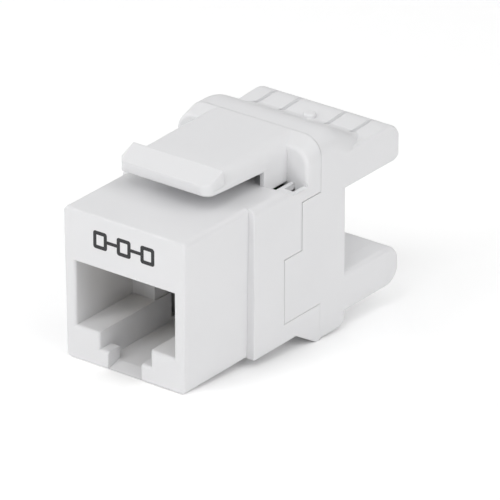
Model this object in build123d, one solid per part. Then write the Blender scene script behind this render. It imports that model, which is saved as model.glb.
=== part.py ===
from build123d import *
import os
from math import cos, sqrt

# Keystone jack: snap-in 8-position modular socket with a two-row
# insulation-displacement block at the rear.  Millimetres.
# Working axes: X width, Y depth from the front face to the rear, Z height
# from the underside of the nose.  Everything is moved at the end so that the
# origin is the centre of the panel seat.

# ---- driving dimensions -------------------------------------------------
NOSE_W = 14.5          # width of the nose at its underside
NOSE_W_TOP = 14.95     # and at its top, with the draft of the sides
BODY_W = 16.3          # width behind the shoulder
BODY_H = 16.2          # height of nose and body
SEAT_Y = 10.1          # shoulder that meets the panel
SEAM_Y = 20.95         # joint between front and rear housing
WALL_Y = 18.8          # front of the raised rear wall of the front housing
TOP_Z = 20.0           # top of the raised wall and of the rear block
WALL_Z = 19.35         # top of the raised wall at its front
FOOT_Z = -1.95         # underside of the foot
FOOT_Y = 20.26         # front of the foot
FOOT_RUN_Y = 16.95     # where the slope of the foot leaves the underside
BLOCK_Y = 25.2         # rear of the rear block
ARM_Y = 34.4           # rear tips of the punch-down arms
UP_IN, UP_OUT = 13.0, 17.1     # upper arm: inner and outer face
UP_RISE = 0.058                # the upper arm's outer face rises towards the rear
LO_IN, LO_OUT = 3.75, -0.6     # lower arm: inner and outer face
SEAM_GAP = 0.07        # parting line round the side tabs
TOP_GAP = 0.03         # parting line across the top, above the tabs

PORT_W, PORT_Z0, PORT_Z1 = 12.1, 3.65, 10.7   # plug opening
KEY1_W, KEY1_Z = 6.3, 1.85                    # wide keyway
KEY2_W = 4.1                                  # narrow keyway, open below
STOP_Y = 9.0                                  # plug stops

DECK_Z = 15.5          # deck beside the latch post
LATCH_W = 11.2         # latch arm width
LATCH_ROOT_Y = 15.0    # front of the latch post
LATCH_R = 1.45         # rounding of the latch's long top edges
LATCH_CLEAR = 0.03     # radial clearance of the rolling end of the arm

PITCH = 1.02           # contact pitch
WIRE_R = 0.2           # contact wire radius
BEND_Y, BEND_Z, BEND_R = 2.4, 12.0, 0.75      # hairpin of the contacts

BOARD_Y0, BOARD_Y1 = 16.6, 18.2               # circuit board faces
SLOT_X = (-5.95, -2.8, 2.8, 5.95)             # wire slots in each arm
SLOT_W, SLOT_D, SLOT_Y0 = 0.34, 0.32, 28.75
FORK_Y, FORK_T, FORK_W = 28.95, 0.4, 1.9       # insulation-displacement fork

ORIGIN = (0, SEAT_Y, BODY_H / 2)


# ---- helpers --------------------------------------------------------------
def box(x0, x1, y0, y1, z0, z1):
    return Pos((x0 + x1) / 2, (y0 + y1) / 2, (z0 + z1) / 2) * Box(x1 - x0, y1 - y0, z1 - z0)


def prism_yz(pts, x0, x1):
    outline = Polyline(*[(x0, y, z) for y, z in pts], close=True)
    return extrude(make_face(outline), amount=x1 - x0, dir=(1, 0, 0))


def prism_xy(pts, z0, z1):
    outline = Polyline(*[(x, y, z0) for x, y in pts], close=True)
    return extrude(make_face(outline), amount=z1 - z0, dir=(0, 0, 1))


def edges_at(part, test):
    return [e for e in part.edges() if test(e.center())]


def near(a, b, tol=1e-3):
    return abs(a - b) < tol


def save(part, name):
    moved = Pos(-ORIGIN[0], -ORIGIN[1], -ORIGIN[2]) * part
    solids = moved.solids()
    export_step(solids[0] if len(solids) == 1 else Compound(children=list(solids)),
                "parts/" + name + ".step")


os.makedirs("parts", exist_ok=True)
HN, HB = NOSE_W / 2, BODY_W / 2

# ---- front housing --------------------------------------------------------
# nose: rounded top edges, softened front edges
HT = NOSE_W_TOP / 2
nose = extrude(make_face(Polyline((-HN, 0, 0), (HN, 0, 0), (HT, 0, BODY_H), (-HT, 0, BODY_H), close=True)),
               amount=SEAT_Y + 2, dir=(0, 1, 0))
nose = fillet(edges_at(nose, lambda c: near(abs(c.X), HT) and near(c.Z, BODY_H)), 0.55)
nose = fillet(edges_at(nose, lambda c: near(abs(c.X), HN) and near(c.Z, 0)), 0.35)
nose = fillet(edges_at(nose, lambda c: near(c.Y, 0)), 0.25)

# body behind the shoulder
body = box(-HB, HB, SEAT_Y, SEAM_Y, 0, BODY_H)
body = fillet(edges_at(body, lambda c: near(abs(c.X), HB) and near(c.Z, BODY_H)), 0.8)
body = fillet(edges_at(body, lambda c: near(c.Y, SEAT_Y) and abs(c.X) > HT), 0.12)

# raised wall with round upper corners, its top falling towards the front
wall = prism_yz([(WALL_Y, BODY_H - 2.0), (SEAM_Y, BODY_H - 2.0), (SEAM_Y, TOP_Z), (WALL_Y, WALL_Z)], -HB, HB)
wall = fillet(edges_at(wall, lambda c: near(abs(c.X), HB) and c.Z > WALL_Z), 2.0)
wall = fillet(edges_at(wall, lambda c: near(c.Y, WALL_Y) and c.Z > BODY_H - 1.9), 0.45)

# foot flange under the seam, its front running out on the underside in a slope
flange = prism_yz([(FOOT_RUN_Y, 0), (FOOT_Y, FOOT_Z), (SEAM_Y, FOOT_Z), (SEAM_Y, 1.0), (FOOT_RUN_Y, 1.0)], -HB, HB)
flange = fillet(edges_at(flange, lambda c: near(c.Y, FOOT_Y) and near(c.Z, FOOT_Z)), 0.5)

# latch post, top falling slightly towards the front
HL = LATCH_W / 2


def latch_top(y):
    return 19.8 + (y - 8.7) * (TOP_Z - 19.8) / (SEAM_Y - 8.7)


LATCH_UNDER_Z = 17.82
root_top = latch_top(LATCH_ROOT_Y)
root_mid = (root_top + LATCH_UNDER_Z) / 2
root_half = (root_top - LATCH_UNDER_Z) / 2
HINGE_R = 1.36
HINGE_Y = LATCH_ROOT_Y - sqrt(HINGE_R ** 2 - root_half ** 2)
HINGE_Z = root_mid

post = prism_yz([(LATCH_ROOT_Y, BODY_H - 1.0), (SEAM_Y, BODY_H - 1.0), (SEAM_Y, TOP_Z),
                 (LATCH_ROOT_Y, root_top)], -HL, HL)
post = fillet(edges_at(post, lambda c: near(abs(c.X), HL) and c.Z > 19.8), LATCH_R)

front = nose + body + wall + flange + post
front -= Pos(0, HINGE_Y, HINGE_Z) * Rot(0, 90, 0) * Cylinder(HINGE_R + LATCH_CLEAR, 2 * HL + 2)
# the post is a hood, open at the front under the latch
front -= box(-(HL - 0.45), HL - 0.45, LATCH_ROOT_Y - 0.1, 20.0, BODY_H, 17.35)

# plug opening, plug stops and keyways
PH = PORT_W / 2
front -= box(-PH, PH, -1, STOP_Y, PORT_Z0, PORT_Z1)
front -= box(-3.3, 3.3, STOP_Y - 0.1, 11.6, PORT_Z0, 7.4)
front -= box(-4.6, 4.6, STOP_Y - 0.1, 11.6, 7.3, PORT_Z1)
front -= box(-KEY1_W / 2, KEY1_W / 2, -1, 2.0, KEY1_Z, PORT_Z0 + 0.1)
front -= box(-KEY1_W / 2, KEY1_W / 2, 1.85, 12.0, 0.5, PORT_Z0 + 0.1)
front -= prism_yz([(-1, -0.19), (0, 0.08), (1.55, 0.5), (2.0, 0.5), (2.0, KEY1_Z + 0.1), (-1, KEY1_Z + 0.1)],
                  -KEY2_W / 2, KEY2_W / 2)
# recess in the ceiling for the contact tongue
front -= box(-4.7, 4.7, 1.2, 12.0, PORT_Z1 - 0.1, 13.7)
# cavity behind the port for insert, board and terminals
front -= box(-6.75, 6.75, 11.5, SEAM_Y + 1, 0.9, 15.0)
# side notches that take the tabs of the rear housing
for s in (-1, 1):
    xa, xb = sorted((s * 6.7, s * (HB + 1)))
    front -= box(xa, xb, 15.0, SEAM_Y + 1, 2.0, 9.05)
    front -= box(xa, xb, 17.85, SEAM_Y + 1, 9.0, 14.25)
    # lowered deck beside the latch post, with two relief slots and a thin rib
    xa, xb = sorted((s * HL, s * (HB + 1)))
    front -= prism_yz([(15.1, BODY_H), (16.25, DECK_Z), (WALL_Y, DECK_Z), (WALL_Y, BODY_H + 1), (15.1, BODY_H + 1)], xa, xb)
    xa, xb = sorted((s * HL, s * 6.0))
    front -= box(xa, xb, 16.45, WALL_Y, 14.0, BODY_H + 0.5)
    xa, xb = sorted((s * (HL - 0.8), s * 6.0))
    front -= box(xa, xb, 16.45, WALL_Y, 14.0, DECK_Z - 0.02)
    xa, xb = sorted((s * 6.56, s * 6.8))
    front += box(xa, xb, 16.65, WALL_Y + 0.1, 14.2, DECK_Z)
    xa, xb = sorted((s * 6.47, s * 7.6))
    front -= box(xa, xb, 17.2, WALL_Y, 14.45, BODY_H + 0.5)
    xa, xb = sorted((s * 6.0, s * 6.47))
    front += box(xa, xb, 16.7, WALL_Y + 0.1, 14.85, DECK_Z - 0.1)
# round mouth of the opening, all but its straight upper edge
front = fillet(edges_at(front, lambda c: near(c.Y, 0, 0.02) and abs(c.X) < PH + 0.1
                        and KEY1_Z - 0.05 < c.Z < PORT_Z1 - 0.05), 0.35)
save(front, "front_housing")

# ---- latch arm --------------------------------------------------------------
r_top = (LATCH_ROOT_Y, root_top)
r_bot = (LATCH_ROOT_Y, LATCH_UNDER_Z)
outline = Polyline((-HL, *r_bot), (-HL, 6.4, 18.26), (-HL, 6.1, 18.34), (-HL, 6.04, 18.7),
                   (-HL, 6.04, 19.0), (-HL, 7.6, latch_top(7.6)), (-HL, *r_top))
cap = ThreePointArc((-HL, *r_top), (-HL, HINGE_Y + HINGE_R, HINGE_Z), (-HL, *r_bot))
arm = extrude(make_face([outline, cap]), amount=2 * HL, dir=(1, 0, 0))
arm = fillet(edges_at(arm, lambda c: near(abs(c.X), HL) and c.Z > 19.7 and c.Y > 8), LATCH_R)
ridge = FilletPolyline((-HL, 6.04, 18.7), (-HL, 6.04, 19.34), (-HL, 8.7, 20.47), (-HL, 8.95, 18.7), radius=0.2)
tooth = make_face([*ridge.edges(), *Line((-HL, 8.95, 18.7), (-HL, 6.04, 18.7)).edges()])
tooth = extrude(tooth, amount=2 * HL, dir=(1, 0, 0))
tooth = chamfer(edges_at(tooth, lambda c: near(abs(c.X), HL) and c.Z > 19.45 and c.Y < 8.85), 0.17)
arm = arm + tooth
# round the plan of the front corners
plan = box(-HL, HL, 6.0, 18, 17, 21)
plan = fillet(edges_at(plan, lambda c: near(abs(c.X), HL) and near(c.Y, 6.0)), 1.3)
arm = arm & plan
save(arm, "latch_arm")

# ---- rear housing -----------------------------------------------------------
block = box(-HB, HB, SEAM_Y, BLOCK_Y, FOOT_Z, 14.3)
block = fillet(edges_at(block, lambda c: near(c.Z, FOOT_Z) and near(c.Y, BLOCK_Y)), 0.9)
block = fillet(edges_at(block, lambda c: near(abs(c.X), HB) and c.Y > BLOCK_Y - 1), 0.3)
# the top runs back from the wall and falls in a smooth slope to the upper arm,
# and its round sides run out on the flat top of the arm
CROWN_Y, CROWN_Z = 30.6, 14.0
top_y = SEAM_Y + TOP_GAP
crown = FilletPolyline((-HB, top_y, TOP_Z), (-HB, 23.6, TOP_Z), (-HB, 28.9, UP_OUT), (-HB, CROWN_Y, UP_OUT), radius=4.5)
base = Polyline((-HB, CROWN_Y, UP_OUT), (-HB, CROWN_Y, CROWN_Z), (-HB, top_y, CROWN_Z), (-HB, top_y, TOP_Z))
crown = extrude(make_face([*crown.edges(), *base.edges()]), amount=2 * HB, dir=(1, 0, 0))
crown = fillet(edges_at(crown, lambda c: near(abs(c.X), HB) and c.Z > 16 and top_y + 0.1 < c.Y < CROWN_Y - 0.1), 2.0)


def punch_arm(z_in, z_out, rise, r_out, r_in, r_side):
    y0 = BLOCK_Y - 2.2
    z_end = z_out + rise * (ARM_Y - SLOT_Y0)
    z0, z1 = min(z_in, z_out), max(z_in, z_out, z_end)
    a = prism_yz([(y0, z_in), (ARM_Y, z_in), (ARM_Y, z_end), (SLOT_Y0, z_out), (y0, z_out)], -HB, HB)
    a = fillet(edges_at(a, lambda c: near(c.Y, ARM_Y) and near(c.Z, z_end)), r_out)
    a = fillet(edges_at(a, lambda c: near(c.Y, ARM_Y) and near(c.Z, z_in)), r_in)
    a = fillet(edges_at(a, lambda c: near(abs(c.X), HB) and c.Y > BLOCK_Y - 2), r_side)
    # rear corners rounded in plan
    plan = box(-HB, HB, BLOCK_Y - 3, ARM_Y, z0 - 1, z1 + 1)
    return a & fillet(edges_at(plan, lambda c: near(abs(c.X), HB) and near(c.Y, ARM_Y)), 0.6)


rear = block + crown + punch_arm(UP_IN, UP_OUT, UP_RISE, 2.5, 1.2, 0.3) + punch_arm(LO_IN, LO_OUT, 0, 2.05, 2.15, 0.5)

# side tabs, flush with the front housing's sides
g = SEAM_GAP
for s in (-1, 1):
    xa, xb = sorted((s * 6.9, s * HB))
    rear += box(xa, xb, 15.0 + 0.7 * g, SEAM_Y + 0.5, 2.0 + 0.6 * g, 9.05 - g)
    rear += box(xa, xb, 17.85 + 1.3 * g, SEAM_Y + 0.5, 9.05 - 2 * g, 14.25 - 1.3 * g)
    # posts that press on the circuit board
    xa, xb = sorted((s * 5.3, s * 6.6))
    rear += box(xa, xb, BOARD_Y1, SEAM_Y + 0.5, 6.0, 10.0)
# cores of the block, open towards the front
rear -= box(-6.6, 6.6, SEAM_Y - 0.01, 23.5, 4.4, 5.9)
rear -= box(-5.2, 5.2, SEAM_Y - 0.01, 23.5, 5.8, 10.1)
rear -= box(-6.6, 6.6, SEAM_Y - 0.01, 23.5, 10.1, 12.4)
rear -= box(-6.3, 6.3, SEAM_Y - 0.01, 23.6, 17.4, 18.6)

for z_in, z_out in ((UP_IN, UP_OUT), (LO_IN, LO_OUT)):
    d = 1 if z_out > z_in else -1
    rise = UP_RISE if d > 0 else 0
    for x in SLOT_X:
        # tunnel for the terminal, wire groove with a flared start and an opening over the fork
        za, zb = sorted((z_in + d * 0.65, z_out - d * 0.6))
        rear -= box(x - 1.05, x + 1.05, SEAM_Y - 1, FORK_Y + FORK_T + 0.2, za, zb)
        groove = [(x - SLOT_W / 2 - 0.06, z_out + d * 0.1), (x - SLOT_W / 2, z_out - d * SLOT_D),
                  (x + SLOT_W / 2, z_out - d * SLOT_D), (x + SLOT_W / 2 + 0.06, z_out + d * 0.1)]
        groove = make_face(Polyline(*[(px, SLOT_Y0, pz) for px, pz in groove], close=True))
        rear -= extrude(groove, amount=ARM_Y + 1 - SLOT_Y0, dir=(0, 1, rise))
        za, zb = sorted((z_in + d * 1.4, z_out + d * 1.0))
        rear -= box(x - SLOT_W / 2, x + SLOT_W / 2, FORK_Y - 0.1, FORK_Y + FORK_T + 0.1, za, zb)
        rear -= Pos(x, SLOT_Y0 + 0.05, z_out - d * 0.13) * Rot(0 if d > 0 else 180, 0, 0) * Cone(0.16, 0.5, 0.28)
    # small raised nub between the middle slots
    nub = Pos(0.4, 29.6, z_out) * Cylinder(0.62, 0.96)
    rear += fillet(edges_at(nub, lambda c: near(c.Z, z_out + d * 0.48)), 0.2)
    # broad shallow channel along the inner face
    za, zb = sorted((z_in - d * 0.5, z_in + d * 0.12))
    rear -= box(-6.0, 6.0, BLOCK_Y + 0.4, ARM_Y + 1, za, zb)
save(rear, "rear_housing")

# ---- contact insert with tongue and comb ------------------------------------
insert = box(-6.6, 6.6, 12.1, BOARD_Y0, 1.1, 12.5)
insert += box(-4.4, 4.4, 10.3, 12.2, 7.5, 12.5)
insert += box(-4.4, 4.4, BEND_Y, 10.4, 11.5, 12.5)
insert += Pos(0, BEND_Y, BEND_Z) * Rot(0, 90, 0) * Cylinder(0.5, 8.8)
for s in (-1, 1):
    xa, xb = sorted((s * 5.0, s * 6.6))
    insert += box(xa, xb, 12.1, BOARD_Y0, 12.4, 14.9)
contacts = [(i - 3.5) * PITCH for i in range(8)]
for x in contacts:
    insert -= box(x - 0.29, x + 0.29, 10.2, 12.0, 7.4, 11.2)
save(insert, "contact_insert")

# ---- contacts: fixed lead over the tongue, spring arm in the plug opening ----
RISE = 0.55
for i, x in enumerate(contacts):
    top = BEND_Z + BEND_R
    front_pt = (x, BEND_Y - BEND_R, BEND_Z)
    arc = ThreePointArc(front_pt, (x, BEND_Y - BEND_R * 0.70710678, BEND_Z + BEND_R * 0.70710678), (x, BEND_Y, top))
    if i % 2:
        run = FilletPolyline((x, BEND_Y, top), (x, 13.4, top), (x, 14.4, top + RISE), (x, 18.75, top + RISE), radius=0.6)
    else:
        run = Line((x, BEND_Y, top), (x, 18.75, top))
    path = Wire(list(arc.edges()) + list(run.edges()))
    lead = sweep(Plane(origin=front_pt, x_dir=(1, 0, 0), z_dir=(0, 0, 1)) * Circle(WIRE_R), path=path)
    save(lead, "contact_lead_%d" % (i + 1))

    # spring arm: rest of the hairpin, then a straight run falling to the rear
    fall = 20.6 * 3.14159265 / 180
    fy, fz = cos(fall), -sqrt(1 - cos(fall) ** 2)
    t_pt = (x, BEND_Y + BEND_R * fz, BEND_Z - BEND_R * fy)
    gap = 0.04 / BEND_R
    s_pt = (x, BEND_Y - BEND_R * cos(gap), BEND_Z - BEND_R * gap)
    m_ang = 0.62
    m_pt = (x, BEND_Y - BEND_R * cos(m_ang), BEND_Z - BEND_R * sqrt(1 - cos(m_ang) ** 2))
    length = 8.95
    end = (x, t_pt[1] + length * fy, t_pt[2] + length * fz)
    arc = ThreePointArc(s_pt, m_pt, t_pt)
    run = Line(t_pt, end)
    path = Wire(list(arc.edges()) + list(run.edges()))
    tangent = arc % 0
    spring = sweep(Plane(origin=s_pt, x_dir=(1, 0, 0), z_dir=tangent) * Circle(WIRE_R), path=path)
    save(spring, "contact_spring_%d" % (i + 1))

# ---- circuit board ------------------------------------------------------------
board = box(-6.5, 6.5, BOARD_Y0, BOARD_Y1, 1.3, 14.75)
for i, x in enumerate(contacts):
    z = BEND_Z + BEND_R + (RISE if i % 2 else 0)
    board -= Pos(x, (BOARD_Y0 + BOARD_Y1) / 2, z) * Rot(90, 0, 0) * Cylinder(WIRE_R + 0.04, 3)
PIN_W, PIN_T = 0.6, 0.4
for z_in, d in ((UP_IN, 1), (LO_IN, -1)):
    for x in SLOT_X:
        za, zb = sorted((z_in + d * 0.68, z_in + d * 1.12))
        board -= box(x - PIN_W / 2 - 0.03, x + PIN_W / 2 + 0.03, BOARD_Y0 - 1, BOARD_Y1 + 1, za, zb)
save(board, "circuit_board")

# ---- insulation-displacement terminals ------------------------------------------
for row, (z_in, z_out, d) in (("upper", (UP_IN, UP_OUT, 1)), ("lower", (LO_IN, LO_OUT, -1))):
    for n, x in enumerate(SLOT_X):
        za, zb = sorted((z_in + d * 0.70, z_in + d * 1.10))
        t = box(x - PIN_W / 2, x + PIN_W / 2, BOARD_Y0, FORK_Y + FORK_T, za, zb)
        t += box(x - 0.8, x + 0.8, BOARD_Y1 + 0.3, FORK_Y + FORK_T, za, zb)
        zf = z_out - d * 0.75
        za, zb = sorted((z_in + d * 0.70, zf))
        t += box(x - FORK_W / 2, x + FORK_W / 2, FORK_Y, FORK_Y + FORK_T, za, zb)
        # jaw between the tines, flared at its mouth
        zs = z_in + d * 1.6
        jaw = [(x - 0.13, zs), (x + 0.13, zs), (x + 0.13, zf - d * 0.5), (x + 0.5, zf + d * 0.1),
               (x - 0.5, zf + d * 0.1), (x - 0.13, zf - d * 0.5)]
        cut = make_face(Polyline(*[(px, FORK_Y - 0.5, pz) for px, pz in jaw], close=True))
        t -= extrude(cut, amount=FORK_T + 1.0, dir=(0, 1, 0))
        save(t, "%s_terminal_%d" % (row, n + 1))
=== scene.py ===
import math

import bmesh
import bpy
from mathutils import Matrix, Vector


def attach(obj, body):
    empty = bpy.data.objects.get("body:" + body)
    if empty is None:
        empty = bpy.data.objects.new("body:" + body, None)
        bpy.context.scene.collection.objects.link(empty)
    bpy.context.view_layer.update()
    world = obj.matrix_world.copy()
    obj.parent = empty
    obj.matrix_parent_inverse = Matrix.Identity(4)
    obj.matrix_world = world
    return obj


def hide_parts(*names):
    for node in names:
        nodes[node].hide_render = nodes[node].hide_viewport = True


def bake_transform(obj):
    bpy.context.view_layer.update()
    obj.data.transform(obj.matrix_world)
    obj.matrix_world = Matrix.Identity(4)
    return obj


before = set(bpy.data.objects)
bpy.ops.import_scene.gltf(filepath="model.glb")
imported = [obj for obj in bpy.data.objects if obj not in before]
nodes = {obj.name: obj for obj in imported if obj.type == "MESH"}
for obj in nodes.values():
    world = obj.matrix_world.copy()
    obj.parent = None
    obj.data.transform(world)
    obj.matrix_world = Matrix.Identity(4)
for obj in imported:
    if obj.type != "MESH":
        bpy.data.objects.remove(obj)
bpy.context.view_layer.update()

MM = 0.001
SEAT_Y, MID_Z = 10.1, 8.1


def P(x, y, z):
    """Working millimetres (front face Y 0, underside of the nose Z 0) to metres in the row frame."""
    return Vector((x * MM, (y - SEAT_Y) * MM, (z - MID_Z) * MM))


# ---------------------------------------------------------------- materials
def material(name):
    m = bpy.data.materials.new(name)
    m.use_nodes = True
    nt = m.node_tree
    nt.nodes.clear()
    out = nt.nodes.new("ShaderNodeOutputMaterial")
    bsdf = nt.nodes.new("ShaderNodeBsdfPrincipled")
    nt.links.new(bsdf.outputs["BSDF"], out.inputs["Surface"])
    return m, nt, bsdf


def node(nt, kind, **values):
    n = nt.nodes.new(kind)
    for k, v in values.items():
        if k in n.inputs.keys():
            n.inputs[k].default_value = v
        else:
            setattr(n, k, v)
    return n


def coords(nt, scale=(1, 1, 1)):
    tc = nt.nodes.new("ShaderNodeTexCoord")
    mp = nt.nodes.new("ShaderNodeMapping")
    mp.inputs["Scale"].default_value = scale
    nt.links.new(tc.outputs["Object"], mp.inputs["Vector"])
    return mp.outputs["Vector"]


def noise(nt, vec, scale, detail=2.0, rough=0.5):
    n = node(nt, "ShaderNodeTexNoise", Scale=scale, Detail=detail, Roughness=rough)
    nt.links.new(vec, n.inputs["Vector"])
    return n.outputs["Fac"]


def ramp(nt, fac, *stops):
    r = nt.nodes.new("ShaderNodeValToRGB")
    els = r.color_ramp.elements
    while len(els) < len(stops):
        els.new(0.5)
    for e, (pos, col) in zip(els, stops):
        e.position = pos
        e.color = (*col, 1.0)
    nt.links.new(fac, r.inputs["Fac"])
    return r.outputs["Color"]


def span(nt, fac, lo, hi, a=0.0, b=1.0):
    m = node(nt, "ShaderNodeMapRange")
    m.inputs["From Min"].default_value = a
    m.inputs["From Max"].default_value = b
    m.inputs["To Min"].default_value = lo
    m.inputs["To Max"].default_value = hi
    nt.links.new(fac, m.inputs["Value"])
    return m.outputs["Result"]


def bumped(nt, bsdf, heights, soft=None):
    """Chain of bumps over an optional edge softening of the given radius."""
    normal = None
    if soft:
        bev = node(nt, "ShaderNodeBevel", Radius=soft)
        bev.samples = 6
        normal = bev.outputs["Normal"]
    for fac, strength, dist in heights:
        b = node(nt, "ShaderNodeBump", Strength=strength, Distance=dist)
        nt.links.new(fac, b.inputs["Height"])
        if normal is not None:
            nt.links.new(normal, b.inputs["Normal"])
        normal = b.outputs["Normal"]
    if normal is not None:
        nt.links.new(normal, bsdf.inputs["Normal"])


def moulded(name, light, dark, rough, soft):
    """Satin moulded plastic: faint cloudiness of the melt, spark-eroded grain."""
    m, nt, b = material(name)
    v = coords(nt)
    cloud = noise(nt, v, 150, 3.0)
    grain = noise(nt, v, 9000, 3.0, 0.6)
    speck = noise(nt, v, 2600, 2.0)
    nt.links.new(ramp(nt, cloud, (0.3, dark), (0.7, light)), b.inputs["Base Color"])
    nt.links.new(span(nt, speck, rough - 0.05, rough + 0.06, 0.3, 0.7), b.inputs["Roughness"])
    bumped(nt, b, [(cloud, 0.02, 0.0004), (grain, 0.10, 0.000012)], soft)
    b.inputs["IOR"].default_value = 1.48
    b.inputs["Specular IOR Level"].default_value = 0.42
    b.inputs["Subsurface Weight"].default_value = 0.0
    return m


WHITE = moulded("white_moulding", (0.779, 0.779, 0.788), (0.765, 0.765, 0.775), 0.42, 0.00012)
GREY = moulded("insert_moulding", (0.345, 0.350, 0.362), (0.315, 0.320, 0.332), 0.50, 0.00006)


def plated(name, light, dark, rough, along):
    """Plated metal: drawn or rolled streaks along one axis, small pits."""
    m, nt, b = material(name)
    b.inputs["Metallic"].default_value = 1.0
    streak = noise(nt, coords(nt, along), 1.0, 4.0, 0.6)
    patch = noise(nt, coords(nt), 900, 2.0)
    nt.links.new(ramp(nt, patch, (0.3, dark), (0.7, light)), b.inputs["Base Color"])
    nt.links.new(span(nt, streak, rough - 0.08, rough + 0.12, 0.3, 0.7), b.inputs["Roughness"])
    bumped(nt, b, [(streak, 0.12, 0.00001)], 0.00004)
    return m


GOLD = plated("gold_plating", (0.88, 0.75, 0.50), (0.78, 0.64, 0.40), 0.24, (24000, 1400, 24000))
TIN = plated("tin_plating", (0.78, 0.76, 0.72), (0.62, 0.60, 0.57), 0.34, (20000, 20000, 1200))


def board_material():
    """Green solder mask over copper tracks, slightly glossy."""
    m, nt, b = material("board_mask")
    v = coords(nt)
    tracks = node(nt, "ShaderNodeTexWave", Scale=520, Distortion=9.0, Detail=1.0)
    tracks.wave_type = "BANDS"
    tracks.bands_direction = "X"
    nt.links.new(v, tracks.inputs["Vector"])
    col = ramp(nt, tracks.outputs["Fac"], (0.55, (0.012, 0.105, 0.035)), (0.72, (0.03, 0.20, 0.07)))
    nt.links.new(col, b.inputs["Base Color"])
    nt.links.new(span(nt, noise(nt, v, 1800), 0.26, 0.40, 0.3, 0.7), b.inputs["Roughness"])
    bumped(nt, b, [(tracks.outputs["Fac"], 0.25, 0.00003)])
    b.inputs["Coat Weight"].default_value = 0.4
    b.inputs["Coat Roughness"].default_value = 0.2
    return m


BOARD = board_material()


def ink_material():
    m, nt, b = material("pad_print_ink")
    v = coords(nt)
    n = noise(nt, v, 5200, 3.0, 0.6)
    nt.links.new(ramp(nt, n, (0.3, (0.010, 0.010, 0.012)), (0.75, (0.022, 0.022, 0.025))), b.inputs["Base Color"])
    nt.links.new(span(nt, n, 0.38, 0.55, 0.3, 0.7), b.inputs["Roughness"])
    bumped(nt, b, [(n, 0.15, 0.000006)])
    return m


INK = ink_material()


def dress(obj, mat):
    obj.data.materials.clear()
    obj.data.materials.append(mat)


for name, obj in nodes.items():
    if name.startswith("contact_lead") or name.startswith("contact_spring"):
        dress(obj, GOLD)
    elif "terminal" in name:
        dress(obj, TIN)
    elif name == "circuit_board":
        dress(obj, BOARD)
    elif name == "contact_insert":
        dress(obj, GREY)
    else:
        dress(obj, WHITE)


# ---------------------------------------------------------------- pieces
def add_mesh(name, bm, mat, sharp_deg=28):
    me = bpy.data.meshes.new(name)
    bm.to_mesh(me)
    bm.free()
    me.polygons.foreach_set("use_smooth", [True] * len(me.polygons))
    me.set_sharp_from_angle(angle=math.radians(sharp_deg))
    me.materials.append(mat)
    o = bpy.data.objects.new(name, me)
    bpy.context.scene.collection.objects.link(o)
    return o


# Latch: one moulding with the post, so the skin runs on over the root and sinks into the post; it is cut into loops
# along its length.
ROOT_Y, SKIN_END_Y = 15.0, 16.6
SLOPE = 0.2 / 12.25


def latch_skin():
    bm = bmesh.new()
    bm.from_mesh(nodes["latch_arm"].data)
    bmesh.ops.remove_doubles(bm, verts=bm.verts[:], dist=1e-7)
    cuts = [9.1 + 0.3 * k for k in range(20)] + [14.97]
    for cut in cuts:
        bmesh.ops.bisect_plane(bm, geom=bm.verts[:] + bm.edges[:] + bm.faces[:], dist=1e-8,
                               plane_co=P(0, cut, 0), plane_no=(0, 1, 0))
    for cut in (18.42, 18.55, 18.75, 19.0, 19.15):
        bmesh.ops.bisect_plane(bm, geom=bm.verts[:] + bm.edges[:] + bm.faces[:], dist=1e-8,
                               plane_co=P(0, 0, cut), plane_no=(0, 0, 1))
    for v in bm.verts:
        y = v.co.y / MM + SEAT_Y
        high = min(max((v.co.z / MM + MID_Z - 17.82) / 2.0, 0.0), 1.0)
        if y > ROOT_Y - 0.002:
            proud = -0.008
            v.co.y = P(0, SKIN_END_Y, 0).y
            v.co.z += SLOPE * (SKIN_END_Y - ROOT_Y) * high * MM
        else:
            proud = 0.008 * min(max((y - 13.0) / 1.9, 0.0), 1.0)
        v.co.x *= (5.6 + proud) / 5.6
        v.co.z += proud * high * MM
    # one flat cap at the sunk end
    end_y = P(0, SKIN_END_Y, 0).y
    cap = [f for f in bm.faces if all(abs(v.co.y - end_y) < 1e-8 for v in f.verts)]
    bmesh.ops.delete(bm, geom=cap, context="FACES")
    bmesh.ops.remove_doubles(bm, verts=[v for v in bm.verts if abs(v.co.y - end_y) < 1e-8], dist=2e-6)
    bmesh.ops.holes_fill(bm, edges=[e for e in bm.edges if e.is_boundary], sides=0)
    bmesh.ops.recalc_face_normals(bm, faces=bm.faces[:])
    o = add_mesh("latch_skin", bm, WHITE, 40)
    for e in o.data.edges:
        if all(abs(o.data.vertices[k].co.y - end_y) < 1e-7 for k in e.vertices):
            e.use_edge_sharp = True
    w = o.modifiers.new("face_weights", "WEIGHTED_NORMAL")
    w.keep_sharp = True
    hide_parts("latch_arm")
    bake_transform(o)
    return o


latch_skin()


# Contacts: each is one wire from the board, over the tongue, round the hairpin and down into the opening.
BEND_Y, BEND_Z, BEND_R, WIRE_R, RISE = 2.4, 12.0, 0.75, 0.2, 0.55


def arc_points(cy, cz, r, a0, a1, n):
    return [(cy + r * math.cos(a0 + (a1 - a0) * i / n), cz + r * math.sin(a0 + (a1 - a0) * i / n)) for i in range(n + 1)]


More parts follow.
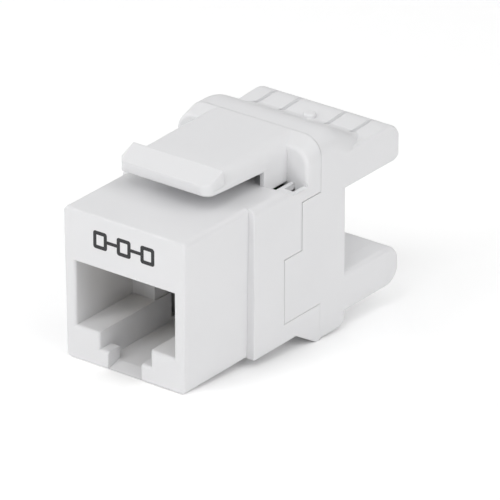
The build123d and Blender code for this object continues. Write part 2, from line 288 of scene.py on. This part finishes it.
def wire_path(raised):
    top = BEND_Z + BEND_R
    if raised:
        # two opposite bends of radius 0.6 between the level runs
        ang = math.atan2(RISE, 1.0)
        t = 0.6 * math.tan(ang / 2)
        pts = [(18.75, top + RISE), (16.6, top + RISE)]
        pts += arc_points(14.4 + t, top + RISE - 0.6, 0.6, math.pi / 2, math.pi / 2 + ang, 5)
        pts += arc_points(13.4 - t, top + 0.6, 0.6, -math.pi / 2 + ang, -math.pi / 2, 5)
    else:
        pts = [(18.75, top), (16.6, top), (14.4, top), (13.4, top)]
    pts += [(10.0, top), (6.0, top)]
    fall = math.radians(20.6)
    pts += arc_points(BEND_Y, BEND_Z, BEND_R, math.pi / 2, math.pi * 1.5 - fall, 22)
    ty, tz = pts[-1]
    for s in (1.5, 3.0, 4.5, 6.0, 7.5, 8.75, 8.88, 8.95):
        pts.append((ty + s * math.cos(fall), tz - s * math.sin(fall)))
    return pts


def wire(i):
    x = (i - 3.5) * 1.02
    path = wire_path(i % 2 == 1)
    bm = bmesh.new()
    rings = []
    n = 14
    for k, (y, z) in enumerate(path):
        a = path[max(k - 1, 0)]
        b = path[min(k + 1, len(path) - 1)]
        d = Vector((0, b[0] - a[0], b[1] - a[1])).normalized()
        side = Vector((1, 0, 0))
        up = side.cross(d)
        r = WIRE_R * {len(path) - 1: 0.55, len(path) - 2: 0.88}.get(k, 1.0)
        rings.append([bm.verts.new(P(x, y, z) + (side * math.cos(2 * math.pi * j / n) + up * math.sin(2 * math.pi * j / n)) * r * MM)
                      for j in range(n)])
    for ra, rb in zip(rings, rings[1:]):
        for j in range(n):
            bm.faces.new((ra[j], ra[(j + 1) % n], rb[(j + 1) % n], rb[j]))
    bm.faces.new(rings[0])
    bm.faces.new(rings[-1])
    bmesh.ops.recalc_face_normals(bm, faces=bm.faces[:])
    o = add_mesh("contact_wire_%d" % (i + 1), bm, GOLD, 50)
    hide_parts("contact_lead_%d" % (i + 1), "contact_spring_%d" % (i + 1))
    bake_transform(o)


for i in range(8):
    wire(i)


# Printed sign on the front: three boxes on a line, in black ink a few microns thick.
def outline_box(bm, cx, cz, w, h, t, corner):
    def ring(hw, hh, r):
        pts = []
        for sx, sz, a0 in ((1, 1, 0), (-1, 1, 90), (-1, -1, 180), (1, -1, 270)):
            for k in range(7):
                a = math.radians(a0 + 15 * k)
                pts.append((cx + sx * (hw - r) + r * math.cos(a), cz + sz * (hh - r) + r * math.sin(a)))
        return pts
    outer, inner = ring(w / 2, h / 2, corner), ring(w / 2 - t, h / 2 - t, max(corner - t, 0.05))
    vo = [bm.verts.new(P(x, -0.005, z)) for x, z in outer]
    vi = [bm.verts.new(P(x, -0.005, z)) for x, z in inner]
    n = len(vo)
    for k in range(n):
        bm.faces.new((vo[k], vo[(k + 1) % n], vi[(k + 1) % n], vi[k]))


def bar(bm, x0, x1, z0, z1):
    bm.faces.new([bm.verts.new(P(x, -0.005, z)) for x, z in ((x0, z0), (x1, z0), (x1, z1), (x0, z1))])


def sign():
    bm = bmesh.new()
    for cx in (-2.9, 0.0, 2.9):
        outline_box(bm, cx, 13.7, 1.7, 1.9, 0.4, 0.28)
    bar(bm, -2.05, -0.85, 13.52, 13.88)
    bar(bm, 0.85, 2.05, 13.52, 13.88)
    bmesh.ops.recalc_face_normals(bm, faces=bm.faces[:])
    made = bmesh.ops.extrude_face_region(bm, geom=bm.faces[:])
    for v in [g for g in made["geom"] if isinstance(g, bmesh.types.BMVert)]:
        v.co.y += 0.02 * MM
    bmesh.ops.recalc_face_normals(bm, faces=bm.faces[:])
    o = add_mesh("front_sign", bm, INK)
    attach(o, "housing")


sign()

# ---------------------------------------------------------------- stage, light, camera
# The jack stands on the front edge of its nose and the front edge of its foot.
front_edge, foot_edge = P(0, 0, 0), P(0, 20.26, -1.95)
along = (foot_edge - front_edge).normalized()
up = Vector((1, 0, 0)).cross(along).normalized()


def floor_material():
    m, nt, b = material("floor_paper_painted_shadow")
    v = coords(nt)
    n = noise(nt, v, 420, 3.0)
    nt.links.new(ramp(nt, n, (0.3, (0.925, 0.925, 0.925)), (0.7, (0.94, 0.94, 0.94))), b.inputs["Base Color"])
    nt.links.new(span(nt, n, 0.75, 0.85), b.inputs["Roughness"])
    b.inputs["Specular IOR Level"].default_value = 0.15
    # glows from below like a light table to an even white, but the glow is cut back round the jack's own footprint: a
    # painted shadow
    b.inputs["Emission Color"].default_value = (1.0, 1.0, 1.0, 1.0)
    sep = nt.nodes.new("ShaderNodeSeparateXYZ")
    nt.links.new(v, sep.inputs[0])

    def beyond(sock, centre, half):
        d = node(nt, "ShaderNodeMath", operation="SUBTRACT")
        nt.links.new(sock, d.inputs[0])
        d.inputs[1].default_value = centre
        a = node(nt, "ShaderNodeMath", operation="ABSOLUTE")
        nt.links.new(d.outputs[0], a.inputs[0])
        e = node(nt, "ShaderNodeMath", operation="SUBTRACT")
        nt.links.new(a.outputs[0], e.inputs[0])
        e.inputs[1].default_value = half
        f = node(nt, "ShaderNodeMath", operation="MAXIMUM")
        nt.links.new(e.outputs[0], f.inputs[0])
        f.inputs[1].default_value = 0.0
        return f.outputs[0]

    footprint_distance = node(nt, "ShaderNodeMath", operation="ADD")
    nt.links.new(beyond(sep.outputs["X"], 0.0025, 0.0040), footprint_distance.inputs[0])
    nt.links.new(beyond(sep.outputs["Y"], 0.0135, 0.0095), footprint_distance.inputs[1])
    # painted shadow: the floor's glow falls from 0.18 to 0.05 towards the box round the jack's footprint
    painted_shadow_ramp = node(nt, "ShaderNodeMapRange", interpolation_type="SMOOTHSTEP")
    painted_shadow_ramp.inputs["From Min"].default_value = 0.0
    painted_shadow_ramp.inputs["From Max"].default_value = 0.007
    painted_shadow_ramp.inputs["To Min"].default_value = 0.05
    painted_shadow_ramp.inputs["To Max"].default_value = 0.180
    nt.links.new(footprint_distance.outputs[0], painted_shadow_ramp.inputs["Value"])
    nt.links.new(painted_shadow_ramp.outputs["Result"], b.inputs["Emission Strength"])
    return m


bm = bmesh.new()
bmesh.ops.create_circle(bm, cap_ends=True, segments=96, radius=1.6)
floor = add_mesh("floor", bm, floor_material())
floor.matrix_world = Matrix.Translation(front_edge - up * 0.00002) @ Matrix((
    (1, along.x, up.x, 0), (0, along.y, up.y, 0), (0, along.z, up.z, 0), (0, 0, 0, 1)))

world = bpy.data.worlds.new("studio")
bpy.context.scene.world = world
world.use_nodes = True
bg = world.node_tree.nodes["Background"]
bg.inputs["Color"].default_value = (1.0, 1.0, 1.0, 1.0)
bg.inputs["Strength"].default_value = 0.01


def area(name, frm, to, size, power, tint=(1, 1, 1)):
    d = bpy.data.lights.new(name, "AREA")
    d.shape = "DISK"
    d.size = size
    d.energy = power
    d.color = tint
    o = bpy.data.objects.new(name, d)
    bpy.context.scene.collection.objects.link(o)
    o.location = frm
    o.rotation_mode = "QUATERNION"
    o.rotation_quaternion = (Vector(to) - Vector(frm)).to_track_quat("-Z", "Y")
    return o


def lamp(name, az, el, size, power):
    """Soft disc 0.6 m from the jack; azimuth 0 is in front, 90 on the right."""
    a, e = math.radians(az), math.radians(el)
    area(name, Vector((math.sin(a) * math.cos(e), -math.cos(a) * math.cos(e), math.sin(e))) * 0.6, (0, 0, 0), size, power)


lamp("key", -20, 35, 0.20, 0.52)
lamp("key_high", -20, 60, 0.20, 0.15)
lamp("front", 0, 52, 0.60, 0.86)
lamp("front_right", 20, 50, 0.20, 0.50)
lamp("front_left", -45, 22, 0.60, 0.06)
lamp("right_high", 90, 52, 0.60, 1.56)
lamp("right_low", 90, 22, 0.60, 0.62)
lamp("left", -90, 22, 0.60, 1.64)
lamp("rear_left", -135, 22, 0.60, 0.26)
lamp("rear_low", 180, 22, 0.60, 0.50)
lamp("rear_high", 180, 52, 0.60, 0.36)

AZ, EL = math.radians(37.103), math.radians(25.554)
right = Vector((math.cos(AZ), math.sin(AZ), 0))
back = Vector((math.sin(AZ) * math.cos(EL), -math.cos(AZ) * math.cos(EL), math.sin(EL)))
upv = back.cross(right)
eye = Vector((0, 0.0019, -0.0001)) + (right * 4.9478 + upv * 0.8649 + back * 589.83) * MM
cam_data = bpy.data.cameras.new("camera")
cam_data.lens = 432.0
cam_data.sensor_width = 36.0
cam_data.clip_start, cam_data.clip_end = 0.05, 20.0
cam = bpy.data.objects.new("camera", cam_data)
bpy.context.scene.collection.objects.link(cam)
cam.matrix_world = Matrix(((right.x, upv.x, back.x, eye.x), (right.y, upv.y, back.y, eye.y),
                           (right.z, upv.z, back.z, eye.z), (0, 0, 0, 1)))
bpy.context.scene.camera = cam

vs = bpy.context.scene.view_settings
vs.view_transform = "Standard"
vs.look = "None"
